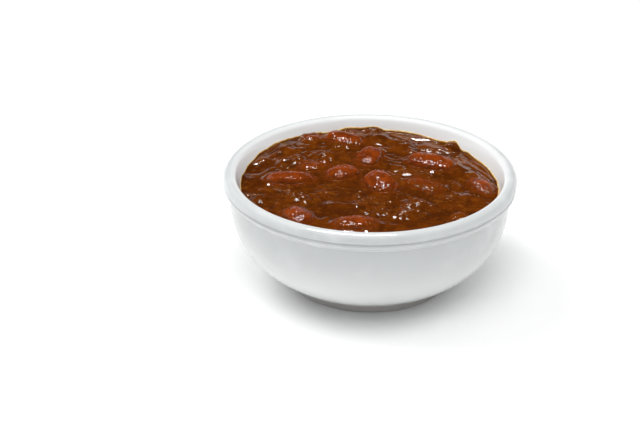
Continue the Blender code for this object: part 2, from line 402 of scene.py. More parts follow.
# %% [markdown]
# ## Kidney beans
# A cooked kidney bean is a fat curved pillow with blunt ends and a small dent, the eye, on its inner
# side. A ball would give pointed ends, so the bean starts as a cube that subdivision rounds off: it
# keeps some of the cube's fullness at the ends. It is bent, dented and subdivided once, and then
# copied, each copy with its own mesh, at its own size and turn.

# %% One bean to copy
BEAN_CUTS = 25
BEAN_ROUNDNESS = 0.78
BEAN_STRETCH = (1.75, 1.0, 0.9)
BEAN_BEND_DEG = 32.0
EYE_DEPTH = 0.1
EYE_REACH = 0.5
EYE_HALF_LENGTH = 0.12
EYE_HALF_HEIGHT = 0.35
EYE_SKIN = 0.15         # how deep into the inner side the eye is picked
MIDDLE_STRETCH = 0.3    # half the stretch whose inner side is looked at


def model_bean():
    deselect_all()
    bpy.ops.mesh.primitive_cube_add(size=2.0, location=(0.0, 0.0, 0.0))
    bean = bpy.context.object
    bean.name = "bean_to_copy"
    edit(bean)
    bpy.ops.mesh.select_all(action="SELECT")
    bpy.ops.mesh.subdivide(number_cuts=BEAN_CUTS)
    bpy.ops.transform.tosphere(value=BEAN_ROUNDNESS)
    bpy.ops.transform.resize(value=BEAN_STRETCH)
    bpy.ops.object.mode_set(mode="OBJECT")
    apply_modifier(
        bean, "SIMPLE_DEFORM", deform_method="BEND", deform_axis="Z", angle=math.radians(BEAN_BEND_DEG))
    rows = places(bean)
    inner_y = rows[np.abs(rows[:, 0]) < MIDDLE_STRETCH][:, 1].min()
    select_where(bean, lambda place: (
        abs(place.x) < EYE_HALF_LENGTH and abs(place.z) < EYE_HALF_HEIGHT and place.y < inner_y + EYE_SKIN))
    bpy.ops.transform.translate(
        value=(0.0, EYE_DEPTH, 0.0), use_proportional_edit=True,
        proportional_edit_falloff="SMOOTH", proportional_size=EYE_REACH)
    bpy.ops.object.mode_set(mode="OBJECT")
    apply_modifier(bean, "SUBSURF", levels=1, render_levels=1)
    return bean


bean_to_copy = model_bean()
low, high = places(bean_to_copy).min(0), places(bean_to_copy).max(0)
print(f"one bean: {np.round(high - low, 2)}, {triangles(bean_to_copy)} triangles")

# %% [markdown]
# Each bean's place is read from the solid that it stands for. Its length, width and thickness, its
# heading, pitch and roll, and how much of it the sauce still veils, are this stew's own. The skin of
# a cooked bean is fine-pebbled and a little wrinkled, so a Displace modifier raises small clouds on
# each copy after it lies in its place: the same texture then gives every bean its own skin.

# %% Thirteen beans in their places
BEANS = {    # length, width, thickness in mm; heading, pitch, roll in degrees; share veiled
    "bean_back_left": ((18.8, 10.6, 9.4), (-20.0, 6.0, 8.0), 0.15),
    "bean_back_middle": ((16.5, 11.2, 9.6), (70.0, -8.0, 0.0), 0.2),
    "bean_tucked": ((14.5, 9.8, 8.0), (12.0, 4.0, 0.0), 0.45),
    "bean_left_of_middle": ((15.5, 11.6, 9.8), (-146.0, 0.0, 0.0), 0.35),
    "bean_middle": ((18.0, 12.4, 10.4), (-62.0, 6.0, 12.0), 0.15),
    "bean_left": ((21.0, 11.0, 9.2), (-3.0, 0.0, -6.0), 0.2),
    "bean_right": ((22.2, 12.0, 9.8), (-19.0, 4.0, 5.0), 0.2),
    "bean_sunk": ((18.0, 10.4, 8.4), (-40.0, 0.0, 0.0), 0.35),
    "bean_right_wall": ((14.5, 9.4, 8.2), (-60.0, 8.0, 0.0), 0.45),
    "bean_front_left": ((15.5, 10.0, 9.0), (-56.0, 0.0, 4.0), 0.35),
    "bean_front": ((18.5, 11.0, 9.0), (4.0, 0.0, 0.0), 0.45),
    "bean_front_right": ((13.0, 8.4, 7.8), (30.0, -14.0, 0.0), 0.9),
    "bean_back_wall": ((8.0, 6.2, 6.4), (28.0, 0.0, 0.0), 0.3),
}
SKIN_WAVE = 2.2 * MM
SKIN_WAVE_HEIGHT = 0.3 * MM
SKIN_PEBBLE = 1.3 * MM
SKIN_PEBBLE_HEIGHT = 0.3 * MM


def waves_texture():
    texture = bpy.data.textures.new("skin_waves", "CLOUDS")
    texture.noise_scale = SKIN_WAVE
    return texture


def pebbles_texture():
    """Rounded cells with creases between them."""
    texture = bpy.data.textures.new("skin_pebbles", "VORONOI")
    texture.noise_scale = SKIN_PEBBLE
    texture.distance_metric = "DISTANCE_SQUARED"
    return texture


def place_bean(node, size, turn):
    pick(bean_to_copy)
    bpy.ops.object.duplicate()
    bean = bpy.context.object
    bean.name = node.replace("bean", "kidney")
    heading, pitch, roll = (math.radians(value) for value in turn)
    bean.scale = Vector(length * MM / extent for length, extent in zip(size, high - low))
    bean.rotation_euler = Euler((roll, pitch, heading))
    place_into_mesh(bean)
    solid_low, solid_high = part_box(node)
    own = places(bean)
    bean.location = (solid_low + solid_high) / 2 - Vector((own.min(0) + own.max(0)) / 2)
    place_into_mesh(bean)
    apply_modifier(bean, "DISPLACE", texture=skin_waves, strength=SKIN_WAVE_HEIGHT, mid_level=0.5)
    apply_modifier(bean, "DISPLACE", texture=skin_pebbles, strength=-SKIN_PEBBLE_HEIGHT, mid_level=0.3)
    return bean


skin_waves = waves_texture()
skin_pebbles = pebbles_texture()
beans = {node: place_bean(node, size, turn) for node, (size, turn, _) in BEANS.items()}
bpy.data.objects.remove(bean_to_copy)
print(f"{len(beans)} beans")

# %% [markdown]
# ## The sauce
# The sauce stands level at the sides and the front and higher along the back, where the stew was
# scooped in. Meat and beans under it lift it in long low mounds, and it dips once at the back wall.
# Those are the main forms of the solid too, so the same rule and numbers work them out here.

# %% The sauce's main form
SAUCE_LEVEL = 39.5 * MM
SAUCE_RADIUS = 53.0 * MM
MIDDLE_RISE = 1.4 * MM
BACK_RISE = 3.3 * MM
BACK_HEADING_DEG = 112.0
BACK_SPREAD_DEG = 65.0
RIPPLE_HEIGHT = 0.6 * MM
RIPPLE_SIZE = 8.0 * MM
SUNKEN = (    # x, y, half length, half width in mm; heading in degrees; lift in mm
    (6.5, 43.0, 9.0, 6.5, -22.0, 1.7), (16.0, 38.0, 7.0, 6.0, -35.0, 1.1),
    (40.5, 11.5, 9.0, 7.0, -50.0, 1.8), (38.5, -11.0, 6.0, 5.4, 0.0, 1.2),
    (-18.0, 25.5, 8.0, 6.0, 20.0, 1.3), (-32.5, 20.0, 8.0, 5.8, 40.0, 1.3),
    (-36.0, 31.0, 7.0, 5.6, 45.0, 1.0), (37.0, 36.5, 4.6, 4.0, 0.0, 2.0),
    (-9.5, -21.5, 11.0, 6.5, -16.0, 1.5), (18.0, -18.5, 7.0, 6.0, -10.0, 1.5),
    (12.5, -27.0, 6.0, 5.0, 0.0, 1.0), (-44.0, -14.0, 6.0, 5.4, 60.0, 1.2),
    (-28.0, -12.0, 6.5, 5.6, 0.0, 0.8), (3.0, 52.0, 5.0, 4.5, 0.0, 1.0),
    (-14.5, 51.0, 9.0, 7.0, 12.0, -1.5),
)


def noise_at(x, y, size, seed=0.0):
    """Smooth noise between -1 and 1 at each place."""
    return np.array([noise.noise(Vector((a, b, seed))) for a, b in zip(x / size, y / size)])


def ease(value, start, end):
    """From 0 at start to 1 at end, gently."""
    t = np.clip((value - start) / (end - start), 0.0, 1.0)
    return t * t * (3.0 - 2.0 * t)


def mound(x, y, half_length, half_width, heading_deg, fall=1.5):
    heading = math.radians(heading_deg)
    along = x * math.cos(heading) + y * math.sin(heading)
    across = y * math.cos(heading) - x * math.sin(heading)
    reach = np.hypot(along / half_length, across / half_width)
    return np.maximum(1.0 - reach * reach, 0.0) ** fall


def main_form(x, y):
    out = np.minimum(np.hypot(x, y) / SAUCE_RADIUS, 1.0)
    off_back = (np.degrees(np.arctan2(y, x)) - BACK_HEADING_DEG + 180.0) % 360.0 - 180.0
    back = np.exp(-((off_back / BACK_SPREAD_DEG) ** 2))
    height = SAUCE_LEVEL + MIDDLE_RISE * (1.0 - out**2) + BACK_RISE * out**2 * back
    height += RIPPLE_HEIGHT * noise_at(x, y, RIPPLE_SIZE)
    for *measures, heading, lift in SUNKEN:
        lump_x, lump_y, half_length, half_width = (value * MM for value in measures)
        height += lift * MM * mound(x - lump_x, y - lump_y, half_length, half_width, heading)
    return height


# %% [markdown]
# Fine relief makes a stew look like one. Where the thick surface was pushed together as it was
# poured it lies in thin folds, longest at the back and the right, where they follow the wall. Noise
# alone gives even wood grain there, so the folds that matter are laid one by one: each is a ridge
# from one place to another, bowed to one side and fading out at both ends. It has slumped forward, so
# it is steep in front and runs out gently behind, where it mirrors the pale wall as a bright streak.
# A higher fold is wider by the same share, so every back slope leans alike.

# %% Folds
FOLD_FRONT_REACH = 2.1    # times its height
FOLD_BACK_REACH = 9.0
FOLD_LEAST_SHARE = 0.01
FOLD_FULLNESS = 0.6       # lower keeps a fold high nearer to its ends
FOLD_WAVER = 0.5 * MM
FOLD_WAVER_SIZE = 6 * MM
FOLDS = (    # from x, y to x, y; bow to the left of the way; height, all in mm
    (-35.5, 24.0, -25.5, 33.5, 0.8, 0.6), (-25.5, 33.0, -21.0, 39.0, -0.7, 0.5),
    (-37.0, 17.0, -33.0, 22.5, 0.3, 0.6), (-29.0, 41.5, -18.0, 45.5, 0.5, 0.6),
    (-23.5, 25.0, -16.5, 29.0, 1.4, 0.6), (-17.5, -10.5, -11.5, -8.5, 0.4, 0.4),
    (-5.5, -2.5, 0.0, -3.0, 0.8, 0.4), (-36.0, -12.0, -29.5, -14.0, 1.8, 0.4),
    (1.0, 35.0, 6.5, 26.5, 1.6, 0.9), (9.5, 35.5, 14.0, 29.5, 0.4, 0.7),
    (6.0, 48.5, 19.0, 40.0, 0.5, 0.7), (20.5, 38.0, 36.5, 30.5, 0.6, 0.9),
    (17.5, 44.5, 35.5, 41.5, 0.6, 1.0), (7.5, 51.0, 27.5, 46.0, 0.9, 0.6),
    (20.0, 34.0, 33.0, 29.5, 1.2, 0.7), (34.5, 28.0, 37.5, 18.5, 0.6, 0.6),
    (37.0, 27.5, 40.0, 20.5, 0.5, 0.6), (39.0, 21.0, 46.5, 13.0, 0.9, 0.7),
    (39.5, 33.5, 47.0, 17.0, 1.0, 0.8), (42.5, 25.5, 50.0, 7.5, 1.4, 0.9),
    (44.0, 18.0, 50.5, 3.0, 0.8, 0.6), (42.0, 10.5, 43.5, 5.0, 0.1, 0.5),
    (33.0, 6.0, 37.0, -4.0, -0.2, 0.4), (37.5, -6.0, 41.5, -9.5, 1.1, 0.4),
    (7.0, 12.5, 13.0, -3.0, 1.2, 0.6), (8.0, 12.5, 18.0, 13.5, 0.4, 0.6),
    (11.0, 10.0, 20.0, 7.0, 0.7, 0.9), (20.0, 2.0, 29.0, 1.5, 0.8, 0.5),
    (-48.0, 18.0, -40.5, 22.5, 0.4, 1.0), (-42.5, 29.0, -36.5, 37.0, 0.4, 0.8),
    (-33.0, 40.0, -24.0, 45.5, 0.3, 0.6), (-13.5, 50.5, 2.5, 51.0, 0.6, 0.5),
    (-16.0, 17.5, -8.0, 18.5, 1.0, 0.5),
)


def folds(x, y):
    shift_x = x + FOLD_WAVER * noise_at(x, y, FOLD_WAVER_SIZE, 3.0)
    shift_y = y + FOLD_WAVER * noise_at(x, y, FOLD_WAVER_SIZE, 5.0)
    ridges = np.zeros(len(x))
    for *ends, bow, height in FOLDS:
        x1, y1, x2, y2 = (value * MM for value in ends)
        half = math.hypot(x2 - x1, y2 - y1) / 2
        way = Vector((x2 - x1, y2 - y1)).normalized()
        from_x, from_y = shift_x - (x1 + x2) / 2, shift_y - (y1 + y2) / 2
        along = (from_x * way.x + from_y * way.y) / half
        aside = from_y * way.x - from_x * way.y - bow * MM * (1.0 - along**2)
        tall = height * MM * np.maximum(1.0 - along**2, FOLD_LEAST_SHARE) ** FOLD_FULLNESS
        width = np.where(aside > 0.0, FOLD_BACK_REACH, FOLD_FRONT_REACH) * tall
        down = np.maximum(1.0 - np.abs(aside / width), 0.0)
        crest = np.where(aside > 0.0, ease(down, 0.0, 1.0), (down + ease(down, 0.0, 1.0)) / 2)
        ridges = np.maximum(ridges, tall * crest * (np.abs(along) < 1.0))
    return ridges


# %% [markdown]
# Between the folds the surface is calm in some places and lumpy in others, where ground meat lies
# just under it: a heap of meat gives many small round bumps, and a few lie loose all over. A soft
# grain covers the whole.

# %% Meat bumps and grain
RUMPLE_HEIGHT = 0.2 * MM
RUMPLE_SPACING = 3.4 * MM
RUMPLE_LENGTH = 0.5        # radians round the bowl
RUMPLE_LEAST = 0.15        # share left at the front and the left
RUMPLE_SHARPNESS = 2.2
RUMPLE_AT_BACK = (4 * MM, 30 * MM)      # y, and below it x, where they grow to their full height
RUMPLE_AT_RIGHT = (22 * MM, 42 * MM)
RUMPLE_SWAY = (5 * MM, 18 * MM)         # how far they stray in and out, and over what length
RUMPLE_BREAK = (1.2, 12 * MM)           # how far they are broken up round the bowl, and how often
GRAIN_HEIGHT = 0.035 * MM
GRAIN_SIZE = 1.5 * MM
MEAT_HEAPS = (    # x, y in mm; how many bumps
    (-18, 24, 14), (-31, 21, 12), (-35, 16, 10), (-2, -15, 16), (18, -18, 16), (12, -26, 12),
    (3, -25, 12), (-45, -14, 12), (-28, -14, 12), (-20, -8, 12), (38, 37, 8), (-6, 51, 8),
    (30, -12, 10), (-12, 33, 10), (42, 6, 8), (-38, -21, 8), (20, 31, 10), (-24, -32, 8), (14, 13, 8),
)
HEAP_REACH = 5.5 * MM
BUMP_HALF = (0.7, 1.7)          # mm, smallest and largest
LOOSE_BUMPS = 70
LOOSE_BUMP_HALF = (0.5, 1.3)    # mm
LOOSE_REACH = 51 * MM
BUMP_STEEPNESS = 0.3
BUMP_STRETCH = 1.45
BUMP_FALL = 0.8
LUMP_HEIGHT = 0.3 * MM
LUMP_SIZE = 4.2 * MM
LUMP_STRETCH = 0.7
LUMPY_PATCH = 11 * MM


def rumples(x, y):
    """Weak folds that run round the bowl, so that no stretch between the laid ones is flat."""
    sway = noise_at(x, y, RUMPLE_SWAY[1], 3.0) * RUMPLE_SWAY[0]
    out = (np.hypot(x, y) + sway) / RUMPLE_SPACING
    turn = np.arctan2(y, x) / RUMPLE_LENGTH + noise_at(x, y, RUMPLE_BREAK[1], 5.0) * RUMPLE_BREAK[0]
    ridge = 1.0 - RUMPLE_SHARPNESS * np.abs(noise_at(out, turn, 1.0, 7.0))
    back_or_right = np.maximum(ease(y, *RUMPLE_AT_BACK), ease(x, *RUMPLE_AT_RIGHT))
    share = RUMPLE_LEAST + (1.0 - RUMPLE_LEAST) * back_or_right
    return RUMPLE_HEIGHT * share * np.clip(ridge, 0.0, 1.0) ** 2


def meat_bumps():
    """Place, half size and heading of each bit of meat under the surface."""
    dice = random.Random(11)
    found = []
    for heap_x, heap_y, count in MEAT_HEAPS:
        for _ in range(count):
            x = heap_x * MM + dice.gauss(0.0, HEAP_REACH / 2)
            y = heap_y * MM + dice.gauss(0.0, HEAP_REACH / 2)
            found.append((x, y, dice.uniform(*BUMP_HALF) * MM, dice.uniform(0.0, 180.0)))
    for _ in range(LOOSE_BUMPS):
        out, turn = LOOSE_REACH * math.sqrt(dice.random()), dice.uniform(0.0, math.tau)
        half, heading = dice.uniform(*LOOSE_BUMP_HALF) * MM, dice.uniform(0.0, 180.0)
        found.append((out * math.cos(turn), out * math.sin(turn), half, heading))
    return found


def fine_relief(x, y, calm):
    """Folds, bumps, lumps and grain, where calm is the share of bumps and lumps left."""
    height = np.maximum(folds(x, y), calm * rumples(x, y))
    bumps = np.zeros(len(x))
    for bump_x, bump_y, half, heading in meat_bumps():
        near = np.flatnonzero(np.hypot(x - bump_x, y - bump_y) < BUMP_STRETCH * half)
        dome = mound(x[near] - bump_x, y[near] - bump_y, BUMP_STRETCH * half, half, heading, BUMP_FALL)
        bumps[near] = np.maximum(bumps[near], BUMP_STEEPNESS * half * dome)
    patches = ease(noise_at(x, y, LUMPY_PATCH, 23.0), -0.35, 0.25)
    lumps = LUMP_HEIGHT * patches * (1.0 - 2.0 * np.abs(noise_at(x * LUMP_STRETCH, y, LUMP_SIZE, 21.0)))
    grain = GRAIN_HEIGHT * (noise_at(x, y, GRAIN_SIZE, 11.0) + 0.5 * noise_at(x, y, GRAIN_SIZE / 2, 13.0))
    return height + calm * (bumps + lumps) + grain


# %% [markdown]
# ## Meat crumbs
# Here and there ground meat breaks the surface in a small heap of rounded grains, each under its own
# coat of sauce. Spheres would look like peas, so one ball is roughened by a Displace modifier, and
# its copies are stretched and turned at random and joined into one piece.

# %% Crumbs of meat in heaps
CRUMB_HEAPS = (    # x, y in mm; how many crumbs
    (-2.5, -14.5, 14), (2.0, -16.5, 9), (18.0, -17.5, 14), (12.5, -26.0, 10), (3.5, -25.0, 10),
    (-45.5, -14.0, 6), (-28.0, -14.0, 5), (-19.5, -9.0, 5), (36.0, 35.5, 3), (-7.5, 50.0, 5),
    (3.0, 50.5, 6), (-18.0, 24.5, 7), (-31.5, 21.5, 5), (-11.0, 33.5, 4), (30.5, -11.0, 4),
    (8.0, -8.0, 5), (-24.5, 43.0, 4), (-35.5, 9.5, 4), (24.0, 13.0, 4), (34.0, 0.5, 4),
)
CRUMB_SPREAD = 2.4 * MM
CRUMB_HALF = (0.7, 1.7)      # mm, smallest and largest
CRUMB_SUNK = 0.45            # of its half size, that its centre lies under the surface
CRUMB_ROUGHNESS = 0.28
CRUMB_LUMP = 0.8             # of its half size
CRUMB_LONG = (1.0, 1.6)
CRUMB_FLAT = (0.7, 1.0)


def model_crumb():
    deselect_all()
    bpy.ops.mesh.primitive_ico_sphere_add(subdivisions=3, radius=1.0, location=(0.0, 0.0, 0.0))
    crumb = bpy.context.object
    texture = bpy.data.textures.new("crumb_lumps", "CLOUDS")
    texture.noise_scale = CRUMB_LUMP
    apply_modifier(crumb, "DISPLACE", texture=texture, strength=CRUMB_ROUGHNESS, mid_level=0.5)
    return crumb


def scatter_crumbs():
    crumb = model_crumb()
    dice = random.Random(5)
    copies = []
    for heap_x, heap_y, count in CRUMB_HEAPS:
        for _ in range(count):
            x = heap_x * MM + dice.gauss(0.0, CRUMB_SPREAD)
            y = heap_y * MM + dice.gauss(0.0, CRUMB_SPREAD)
            half = dice.uniform(*CRUMB_HALF) * MM
            surface = main_form(np.array([x]), np.array([y]))[0]
            pick(crumb)
            bpy.ops.object.duplicate()
            copy = bpy.context.object
            copy.location = (x, y, surface - CRUMB_SUNK * half)
            copy.rotation_euler = [dice.uniform(0.0, math.tau) for _ in range(3)]
            copy.scale = (half * dice.uniform(*CRUMB_LONG), half, half * dice.uniform(*CRUMB_FLAT))
            copies.append(copy)
    bpy.data.objects.remove(crumb)
    pick(*copies)
    bpy.ops.object.join()
    joined = bpy.context.object
    joined.name = "meat_crumbs"
    place_into_mesh(joined)
    return joined


crumbs = scatter_crumbs()
print(f"{sum(count for *_, count in CRUMB_HEAPS)} crumbs")

# %% [markdown]
# The top starts as a circle filled with a grid, which keeps its cells even, and is subdivided to
# cells of about 0.4 mm. It is widened to reach just into the wall, so that no gap shows, and each
# vertex then gets its height. A wet stew also climbs what it touches: it stands up a little at the
# wall, at the crumbs and at every bean that shows, by an amount that dies away with the distance.

# %% The sauce's top
TOP_SIDES = 256
TOP_CUTS = 3
INTO_WALL = 0.35 * MM
WALL_CLIMB = 0.55 * MM
WALL_CLIMB_REACH = 0.8 * MM
WALL_CLIMB_UNEVEN = 0.6
WALL_CLIMB_PATCH = 5 * MM
CALM_AT_WALL = 0.2           # share of the bumps that is left beside the wall
CALM_WIDTH = (0.3 * MM, 5 * MM)
FLAT_WIDTH = 2 * MM
BEAN_CLIMB = 0.75 * MM
BEAN_CLIMB_REACH = 1.5 * MM
NEARLY_COVERED = 0.8         # share veiled above which the sauce lies flat over a bean
CRUMB_CLIMB = 0.35 * MM
CRUMB_CLIMB_REACH = 0.55 * MM


def filled_circle():
    deselect_all()
    bpy.ops.mesh.primitive_circle_add(vertices=TOP_SIDES, radius=1.0)
    top = bpy.context.object
    top.name = "sauce"
    edit(top)
    bpy.ops.mesh.select_all(action="SELECT")
    bpy.ops.mesh.fill_grid(span=TOP_SIDES // 4)
    bpy.ops.mesh.select_all(action="SELECT")
    bpy.ops.mesh.subdivide(number_cuts=TOP_CUTS)
    bpy.ops.object.mode_set(mode="OBJECT")
    return top


def tree_of(pieces):
    corners, faces = [], []
    for piece in pieces:
        first = len(corners)
        corners += [vertex.co.copy() for vertex in piece.data.vertices]
        faces += [[first + index for index in face.vertices] for face in piece.data.polygons]
    return BVHTree.FromPolygons(corners, faces)


def distance_to(tree, rows, furthest):
    found = [tree.find_nearest(Vector(row), furthest)[3] for row in rows]
    return np.array([furthest if gap is None else gap for gap in found])


def shape_top(top, bean_tree, crumb_tree):
    unit = places(top)
    edge = np.interp(SAUCE_LEVEL + 0.5 * BACK_RISE, WALL_HEIGHTS, WALL_RADII)
    for _ in range(2):    # the wall leans, so its radius is read again at the height found there
        x, y = unit[:, 0] * edge, unit[:, 1] * edge
        height = main_form(x, y)
        edge = np.interp(height, WALL_HEIGHTS, WALL_RADII)
        share = np.hypot(unit[:, 0], unit[:, 1])
        edge = (1.0 - share**4) * np.mean(edge) + share**4 * edge
    to_wall = np.maximum(edge - np.hypot(x, y), 0.0)
    calm = CALM_AT_WALL + (1.0 - CALM_AT_WALL) * ease(to_wall, *CALM_WIDTH)
    relief = fine_relief(x, y, calm) * ease(to_wall, 0.0, FLAT_WIDTH)
    height += relief
    uneven = 1.0 + WALL_CLIMB_UNEVEN * noise_at(x, y, WALL_CLIMB_PATCH, 17.0)
    height += WALL_CLIMB * uneven * np.exp(-to_wall / WALL_CLIMB_REACH)
    to_bean = distance_to(bean_tree, np.column_stack([x, y, height]), 4 * BEAN_CLIMB_REACH)
    height += BEAN_CLIMB * np.exp(-((to_bean / BEAN_CLIMB_REACH) ** 2))
    to_crumb = distance_to(crumb_tree, np.column_stack([x, y, height]), 4 * CRUMB_CLIMB_REACH)
    height += CRUMB_CLIMB * np.exp(-((to_crumb / CRUMB_CLIMB_REACH) ** 2))
    grown = (edge + INTO_WALL) / edge
    move_to(top, np.column_stack([x * grown, y * grown, height]))
    return to_wall, to_bean, relief


bean_tree = tree_of([bean for node, bean in beans.items() if BEANS[node][2] < NEARLY_COVERED])
sauce = filled_circle()
to_wall, to_bean, relief = shape_top(sauce, bean_tree, tree_of([crumbs]))
top_heights = places(sauce)[:, 2]
print(f"sauce top: {top_heights.min() / MM:.1f} to {top_heights.max() / MM:.1f} mm")

# %% [markdown]
# Below its top the sauce is a plain body that fills the bowl. The open edge is extruded ring by ring
# down the inner wall, always a little inside the ceramic, and closed on the floor.

# %% The sauce's body
BODY_RINGS = 9


def close_body(top):
    edit(top)
    bpy.ops.mesh.select_non_manifold()
    wall = [point for point in INNER_WALL if point.y < SAUCE_LEVEL - 2 * MM]
    steps = [wall[round(index * (len(wall) - 1) / (BODY_RINGS - 1))] for index in range(BODY_RINGS)]
    radius = np.interp(SAUCE_LEVEL, WALL_HEIGHTS, WALL_RADII) + INTO_WALL
    for index, point in enumerate(steps):
        bpy.ops.mesh.extrude_region_move(TRANSFORM_OT_translate={"value": (0.0, 0.0, 0.0)})
        shrink = (point.x + INTO_WALL) / radius
        flatten = 0.0 if index == 0 else 1.0
        bpy.ops.transform.resize(value=(shrink, shrink, flatten), center_override=(0.0, 0.0, point.y))
        if index > 0:
            bpy.ops.transform.translate(value=(0.0, 0.0, point.y - steps[index - 1].y))
        radius = point.x + INTO_WALL
    bpy.ops.mesh.extrude_region_move(TRANSFORM_OT_translate={"value": (0.0, 0.0, 0.0)})
    bpy.ops.mesh.merge(type="CENTER")
    bpy.ops.object.mode_set(mode="OBJECT")


close_body(sauce)

# %% [markdown]
# ## What the finishes need to know
# Thin sauce over a bean lets its red show, and on the bean itself the sauce lies thickest low down,
# where it meets the stew. Both finishes read one number at each vertex: on the sauce, how near a
# bean lies; on a bean, how deep its veil of sauce is. Along the wall the fat parts from the sauce
# and shows amber, so the sauce also keeps how near the wall is.

# %% Numbers kept on the meshes
VEIL_DEPTH = 2.7 * MM
VEIL_THINNING = 1.3    # less the share veiled: how fast the veil thins upwards
NEAR_BEAN = 1.1 * MM
NEAR_WALL = 1.0 * MM
RAISED_FULLY = 0.55 * MM
MEATY_LEAST = 0.12
MEATY_COUNT = 14.0     # bumps in a heap that counts as all meat


def keep_veils():
    for node, bean in beans.items():
        rows = places(bean)
        over = rows[:, 2] - main_form(rows[:, 0], rows[:, 1]) - BEAN_CLIMB
        veiled = BEANS[node][2]
        keep_values(bean, "veil", np.clip(1.0 - (over / VEIL_DEPTH) * (VEIL_THINNING - veiled), 0.0, 1.0))


keep_veils()
body_rows = len(sauce.data.vertices) - len(to_bean)
keep_values(sauce, "near_bean", np.append(np.exp(-to_bean / NEAR_BEAN), np.zeros(body_rows)))
keep_values(sauce, "near_wall", np.append(np.exp(-to_wall / NEAR_WALL), np.ones(body_rows)))
# How high the fine relief stands: the sauce is painted darker where it is low, as painted shade in the
# hollows.
keep_values(sauce, "raised", np.append(np.clip(relief / RAISED_FULLY, 0.0, 1.0), np.zeros(body_rows)))


def meaty(x, y):
    """How far ground meat pebbles the film: 1 in the middle of a full heap."""
    share = np.full(len(x), MEATY_LEAST)
    for heap_x, heap_y, count in MEAT_HEAPS:
        away = np.hypot(x - heap_x * MM, y - heap_y * MM) / HEAP_REACH
        share = np.maximum(share, np.exp(-(away**2)) * count / MEATY_COUNT)
    return np.clip(share, 0.0, 1.0)


all_rows = places(sauce)
keep_values(sauce, "meaty", meaty(all_rows[:, 0], all_rows[:, 1]))

# %% [markdown]
# Cooked tomato, chilli powder and browned beef give a dark, warm brown that is never even, in
# patches and flecks. It is paler where the relief rises, where ground meat comes near the surface
# and the film over it is thin, and darker in the hollows, which is painted shade. It is wet all over,
# so it is smooth and glossy, and a fine bump breaks its shine into the small sparks of a real stew.

# %% Sauce
# The dark brown serves both the random dark patches and the painted shade in the hollows.
SAUCE_DARK_AND_HOLLOW_SHADE = (0.066, 0.0135, 0.0007)
SAUCE_BROWN = (0.142, 0.0305, 0.0010)
SAUCE_MEAT = (0.235, 0.072, 0.007)
SAUCE_SPICE = (0.050, 0.009, 0.0006)
BEAN_RED = (0.200, 0.032, 0.004)
FAT_AMBER = (0.45, 0.20, 0.04)
FILM_IOR = 1.42
FILM_ROUGHNESS = 0.05
BROWN_PATCH = 6 * MM
MEAT_FLECK = 2.0 * MM
SPICE_SPECK = 1.5 * MM
DULL_PATCH = 2.5 * MM
BODY_GRAIN = (0.9 * MM, 0.14 * MM)     # size and depth of the matt body's bump
MEAT_PEBBLE = (0.8 * MM, 0.22 * MM)    # and of the film's, where there is meat


def wet(recipe):
    """A clear film of water and fat over a matt body: all the shine comes from the film."""
    recipe.set("Specular IOR Level", 0.0)
    recipe.set("Coat Weight", 1.0)
    recipe.set("Coat IOR", FILM_IOR)
    recipe.set("Coat Roughness", FILM_ROUGHNESS)


def sauce_finish():
    recipe = Recipe("chili_sauce")
    broad = recipe.spread(recipe.noise(BROWN_PATCH, detail=3.0), 0.35, 0.65, 0.08, 0.5)
    # Painted shade: low relief darkens towards the dark brown; the rises are paler where the film over meat
    # is thin.
    film_thinness_and_painted_shade = recipe.math("ADD", broad, recipe.math("MULTIPLY", recipe.attribute("raised"), 0.6))
    colour = recipe.mix(recipe.spread(film_thinness_and_painted_shade, 0.0, 1.2), SAUCE_DARK_AND_HOLLOW_SHADE, SAUCE_BROWN)
    flecks = recipe.spread(recipe.noise(MEAT_FLECK, detail=3.0, roughness=0.6), 0.52, 0.7)
    colour = recipe.mix(recipe.math("MULTIPLY", flecks, 0.42), colour, SAUCE_MEAT)
    specks = recipe.spread(recipe.noise(SPICE_SPECK, detail=2.0, roughness=0.5), 0.38, 0.28)
    colour = recipe.mix(recipe.math("MULTIPLY", specks, 0.45), colour, SAUCE_SPICE)
    near_bean = recipe.attribute("near_bean")
    colour = recipe.mix(recipe.spread(near_bean, 0.1, 0.8, 0.0, 0.35), colour, BEAN_RED)
    fat = recipe.spread(recipe.attribute("near_wall"), 0.55, 1.0)
    colour = recipe.mix(recipe.math("MULTIPLY", fat, 0.8), colour, FAT_AMBER)
    recipe.wire(colour, "Base Color")
    recipe.wire(recipe.spread(recipe.noise(DULL_PATCH), 0.3, 0.7, 0.3, 0.5), "Roughness")
    recipe.wire(recipe.bump(recipe.noise(BODY_GRAIN[0], detail=3.0), BODY_GRAIN[1]), "Normal")
    pebbles = recipe.math("MULTIPLY", recipe.noise(MEAT_PEBBLE[0], detail=2.0), recipe.attribute("meaty"))
    recipe.wire(recipe.bump(pebbles, MEAT_PEBBLE[1]), "Coat Normal")
    wet(recipe)
    return recipe.material


sauce_brown = sauce_finish()
sauce.data.materials.append(sauce_brown)
complete(sauce, "chili_sauce", "chili")
keep_values(crumbs, "meaty", np.ones(len(crumbs.data.vertices)))
keep_values(crumbs, "raised", np.ones(len(crumbs.data.vertices)))
crumbs.data.materials.append(sauce_brown)
complete(crumbs, "chili_sauce")

# %% [markdown]
# ## The line of oil
# Fat floats, gathers along the wall and creeps up the glaze, where it shows as a fine amber line. It
# is broadest at the back and on the right. A thin torus gives a closed bead with an even run of
# vertices. Each of its rings is then moved to the sauce's edge at that bearing and given its size.

